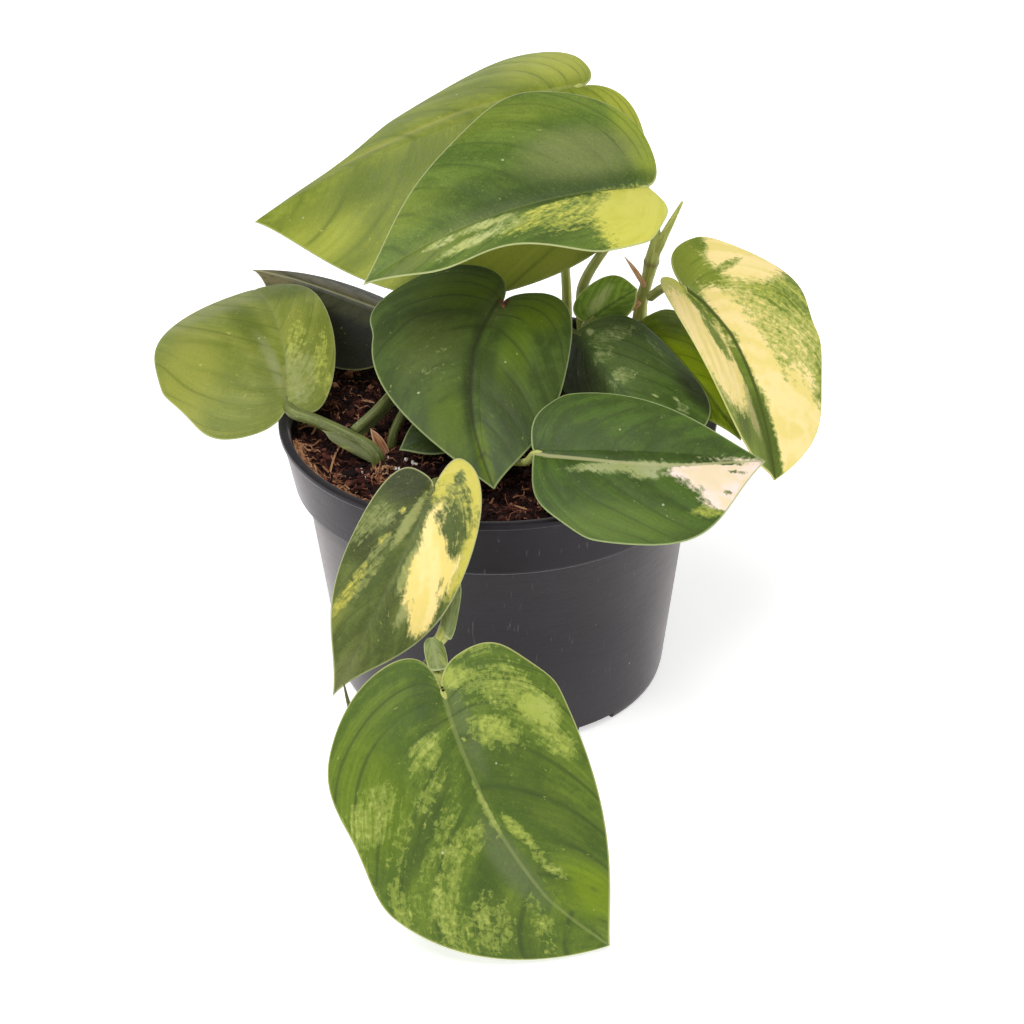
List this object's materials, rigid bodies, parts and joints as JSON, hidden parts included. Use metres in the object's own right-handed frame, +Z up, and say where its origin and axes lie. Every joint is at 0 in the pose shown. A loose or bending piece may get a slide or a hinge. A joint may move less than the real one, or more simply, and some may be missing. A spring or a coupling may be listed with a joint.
{
  "type": "potted satin pothos",
  "caption": "Young satin pothos with heart-shaped, variegated leaves on slender petioles, rooted in a round tapered nursery pot, with a vine trailing over the front of the rim.",
  "frame": {"origin": "centre of the pot's base, on the surface that the pot stands on", "axes": "+Z up; -Y is the front, over which the vine trails; +X to the right seen from the front"},
  "size_m": [0.1844, 0.2382, 0.1524],
  "materials": {
    "pot": "satin charcoal",
    "soil": "dark peat and coir",
    "dark_leaf": "satin dark green",
    "green_leaf": "satin mid green",
    "lime_leaf": "satin lime green",
    "cream_leaf": "satin cream, streaked green",
    "stem": "satin green",
    "dry": "papery brown"
  },
  "bodies": {
    "root": {"pot": "pot", "soil": "soil", "leaf_top_rear": "lime_leaf", "leaf_top_front": "green_leaf", "leaf_left": "lime_leaf", "leaf_left_rear": "dark_leaf", "leaf_centre": "dark_leaf", "leaf_centre_small": "dark_leaf", "leaf_right_front": "dark_leaf", "leaf_right_cream": "cream_leaf", "leaf_right_dark": "dark_leaf", "leaf_right_rear": "green_leaf", "leaf_right_small": "green_leaf", "leaf_hanging_cream": "cream_leaf", "leaf_hanging_green": "green_leaf", "stem_right": "stem", "stem_front": "stem", "dry_scale_left": "dry", "dry_scale_right": "dry", "dry_scale_thin": "dry"}
  },
  "joints": []
}
